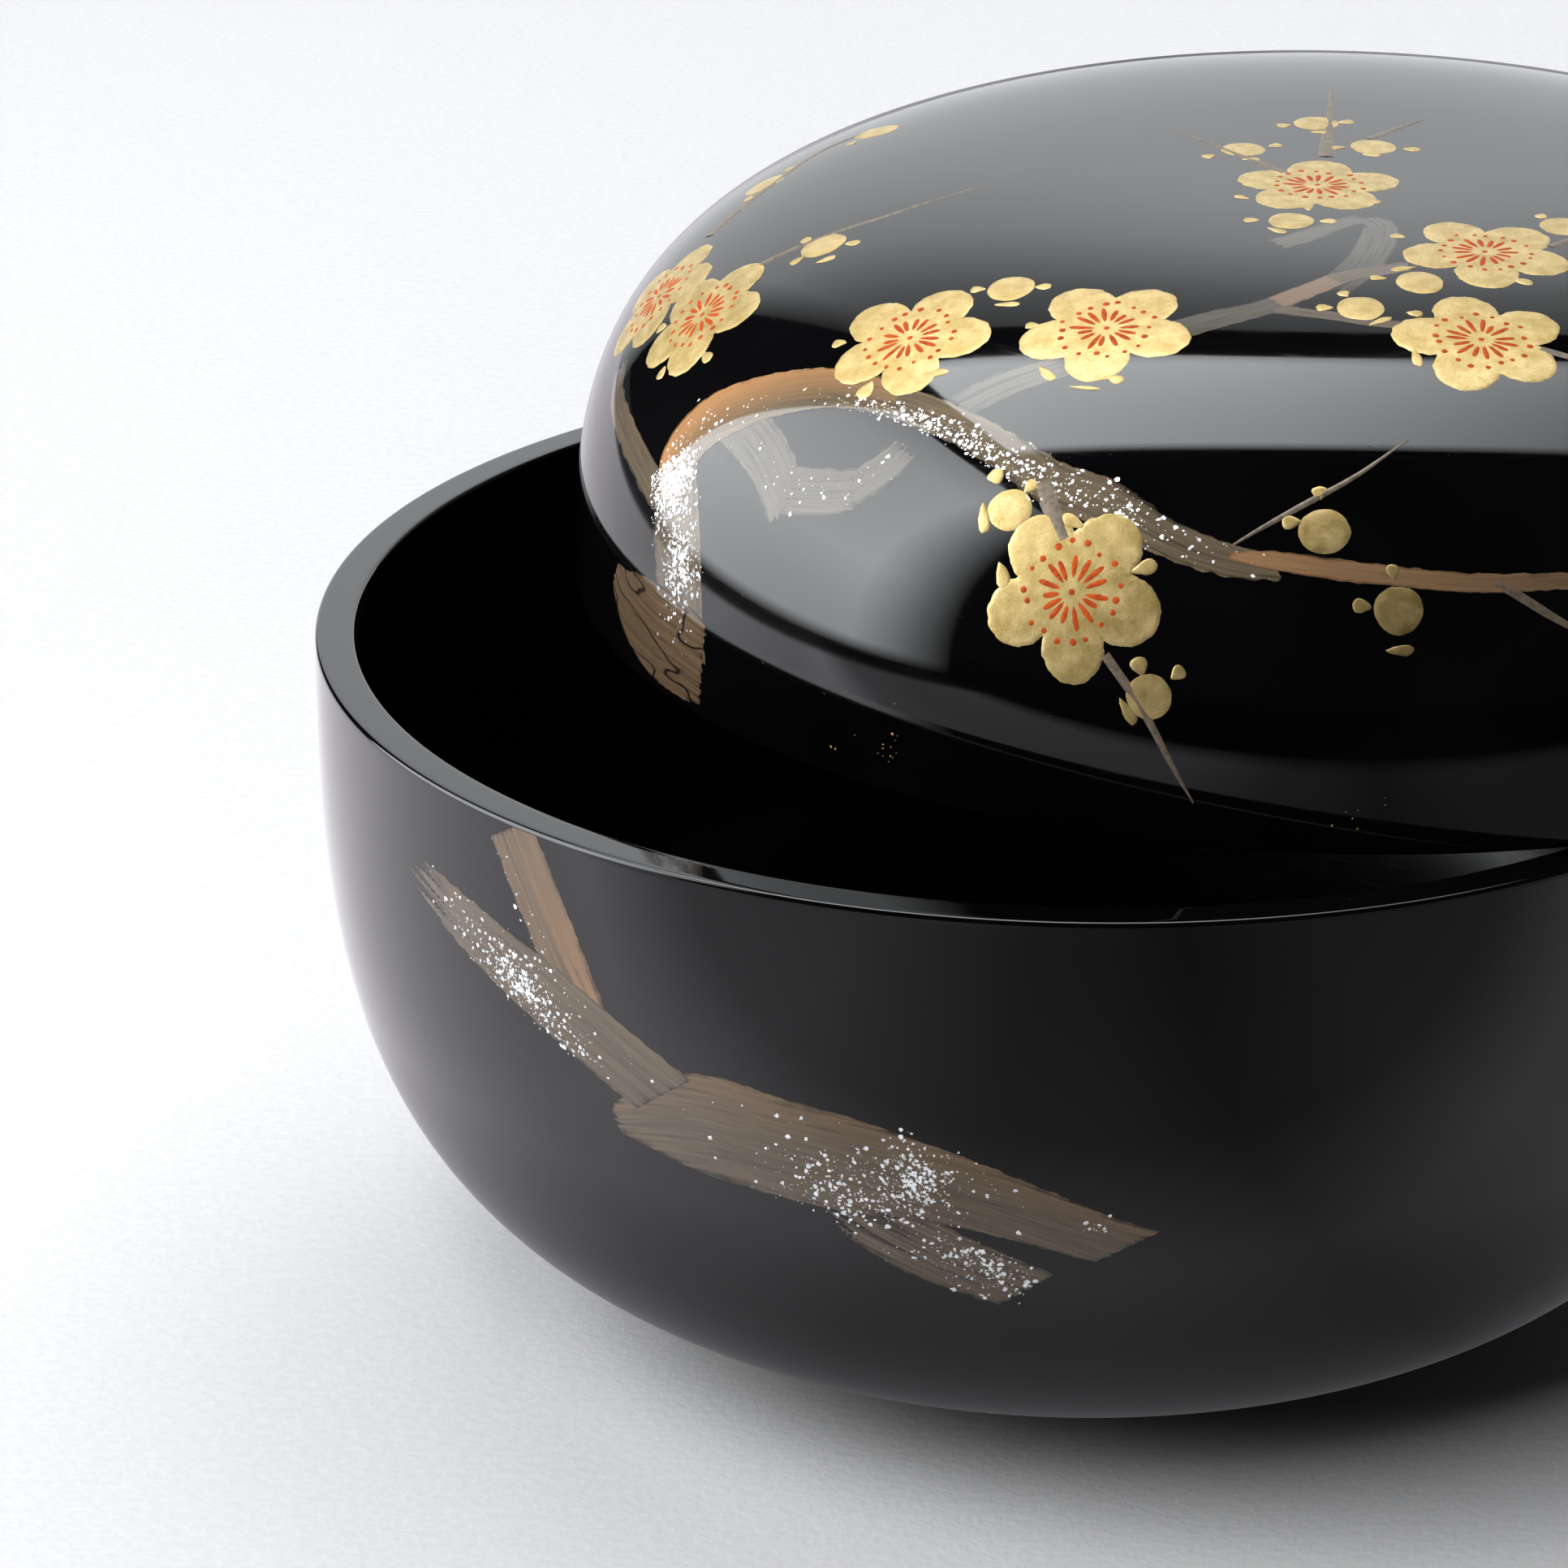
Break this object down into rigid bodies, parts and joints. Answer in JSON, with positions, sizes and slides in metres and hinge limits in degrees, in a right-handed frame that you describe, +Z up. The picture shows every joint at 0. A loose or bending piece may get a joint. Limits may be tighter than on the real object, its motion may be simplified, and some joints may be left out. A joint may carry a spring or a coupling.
{
  "type": "lidded rice bowl",
  "caption": "Deep round lacquered wooden rice bowl with a domed lid of the same diameter, resting part open on the bowl's flat rim.",
  "frame": {"origin": "centre of the flat underside of the bowl's foot, on the bowl's axis, at the height of the surface it stands on", "axes": "+Z up along the bowl's axis; +Y towards the back; +X to the right, the side that the resting lid overhangs most"},
  "size_m": [0.175, 0.1643, 0.1129],
  "materials": {
    "black_lacquer": "polished",
    "turned_wood": "unfinished",
    "foot_lacquer": "polished"
  },
  "bodies": {
    "bowl": {"bowl_core": "turned_wood", "bowl_outer_lacquer": "black_lacquer", "bowl_inner_lacquer": "black_lacquer", "bowl_foot": "foot_lacquer"},
    "lid": {"lid_core": "turned_wood", "lid_outer_lacquer": "black_lacquer", "lid_inner_lacquer": "black_lacquer"}
  },
  "joints": [
    {"name": "lid_lift", "type": "slide", "parent": "bowl", "child": "lid", "axis": [0, 0, 1], "range_m": [0, 0.1]}
  ]
}
